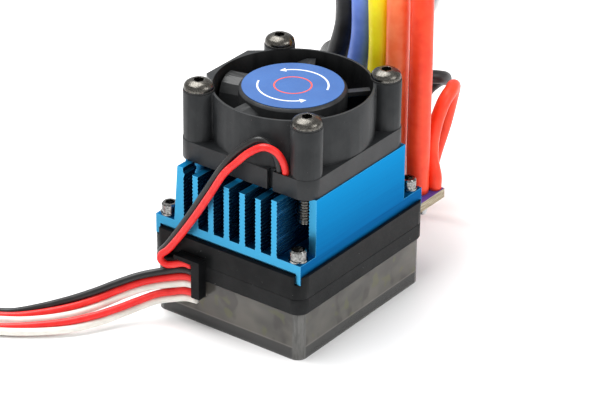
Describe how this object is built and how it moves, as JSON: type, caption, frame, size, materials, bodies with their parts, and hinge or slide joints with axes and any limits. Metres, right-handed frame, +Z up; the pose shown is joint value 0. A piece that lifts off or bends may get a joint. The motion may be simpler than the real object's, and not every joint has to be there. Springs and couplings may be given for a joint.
{
  "type": "electronic speed controller",
  "caption": "Brushless motor speed controller: smoked case, finned heatsink with a cooling fan on top, power and signal leads with their plugs and switch.",
  "frame": {"origin": "centre of the case's flat bottom face", "axes": "+Z up through the heatsink and fan, -Y the signal-lead side, +Y the power-lead side, +X the side with the plain heatsink plate"},
  "size_m": [0.1022, 0.1724, 0.0551],
  "materials": {
    "smoked_plastic": "clear smoked polycarbonate",
    "collar_plastic": "fine-grained black moulding",
    "frame_plastic": "satin black moulding",
    "blue_anodised": "bright blue anodised, brushed along Y",
    "thermal_pad": "soft grey pad",
    "black_steel": "black-oxide steel",
    "gunmetal_steel": "polished dark steel",
    "washer_fibre": "black fibre",
    "fan_plastic": "satin dark grey glass-filled plastic",
    "label_blue": "printed film with a plain line pattern",
    "magnet": "bonded ferrite",
    "steel": "ground steel",
    "nylon": "natural nylon",
    "sintered_bronze": "oil-filled sintered bronze",
    "lamination": "stacked steel sheet",
    "copper": "enamelled wire",
    "fan_board": "green solder mask",
    "board": "violet-blue solder mask on glass-epoxy",
    "chip_black": "moulded epoxy",
    "header_gold": "gold-plated pins",
    "ferrite": "pressed ferrite",
    "tantalum": "moulded case",
    "solder": "bright solder",
    "silicone_blue": "blue silicone",
    "silicone_yellow": "yellow silicone",
    "silicone_orange": "orange silicone",
    "silicone_red": "red silicone",
    "silicone_black": "black silicone",
    "gold_plate": "gold-plated brass",
    "shrink_black": "heat-shrink sleeve",
    "plug_red": "glass-filled nylon",
    "can_sleeve": "shrunk film over aluminium",
    "bung_rubber": "moulded rubber",
    "pvc_red": "red PVC",
    "pvc_black": "black PVC",
    "pvc_white": "white PVC",
    "plug_black": "black nylon",
    "slider_grey": "grey acetal"
  },
  "bodies": {
    "controller": {"lower_case": "smoked_plastic", "collar": "collar_plastic", "upper_frame": "frame_plastic", "cable_hood": "frame_plastic", "heatsink": "blue_anodised", "thermal_pad": "thermal_pad", "heatsink_screws": "black_steel", "fan_housing": "fan_plastic", "fan_screws": "gunmetal_steel", "fan_screw_washers": "washer_fibre", "sleeve_bearing": "sintered_bronze", "stator_core": "lamination", "stator_coils": "copper", "fan_board": "fan_board", "power_board": "board", "control_board": "board", "mosfets": "chip_black", "board_headers": "header_gold", "microcontroller": "chip_black", "driver_chips": "chip_black", "inductor": "ferrite", "board_capacitors": "tantalum", "solder_joints": "solder", "motor_lead_a": "silicone_blue", "motor_lead_b": "silicone_yellow", "motor_lead_c": "silicone_orange", "bullet_sockets": "gold_plate", "socket_sleeves": "shrink_black", "battery_lead_pos": "silicone_red", "battery_lead_neg": "silicone_black", "battery_plug": "plug_red", "battery_plug_blades": "gold_plate", "battery_plug_sleeves": "shrink_black", "capacitor_lead_pos": "silicone_red", "capacitor_lead_neg": "silicone_black", "capacitor_can": "can_sleeve", "capacitor_bung": "bung_rubber", "capacitor_sleeves": "shrink_black", "fan_lead_red": "pvc_red", "fan_lead_black": "pvc_black", "receiver_lead": "pvc_red", "receiver_plug": "plug_black", "receiver_contacts": "header_gold", "switch_lead": "pvc_white", "switch_housing": "plug_black", "switch_contacts": "header_gold"},
    "fan_rotor_body": {"fan_rotor": "fan_plastic", "fan_label": "label_blue", "magnet_ring": "magnet", "rotor_shaft": "steel", "shaft_clip": "nylon"},
    "switch_slider_body": {"switch_slider": "slider_grey"}
  },
  "joints": [
    {"name": "fan_spin", "type": "hinge", "parent": "controller", "child": "fan_rotor_body", "pos_m": [0.001, -0.00085, 0], "axis": [0, 0, 1], "continuous": true},
    {"name": "switch_slide", "type": "slide", "parent": "controller", "child": "switch_slider_body", "axis": [-1, 0, 0], "range_m": [0, 0.002]}
  ]
}
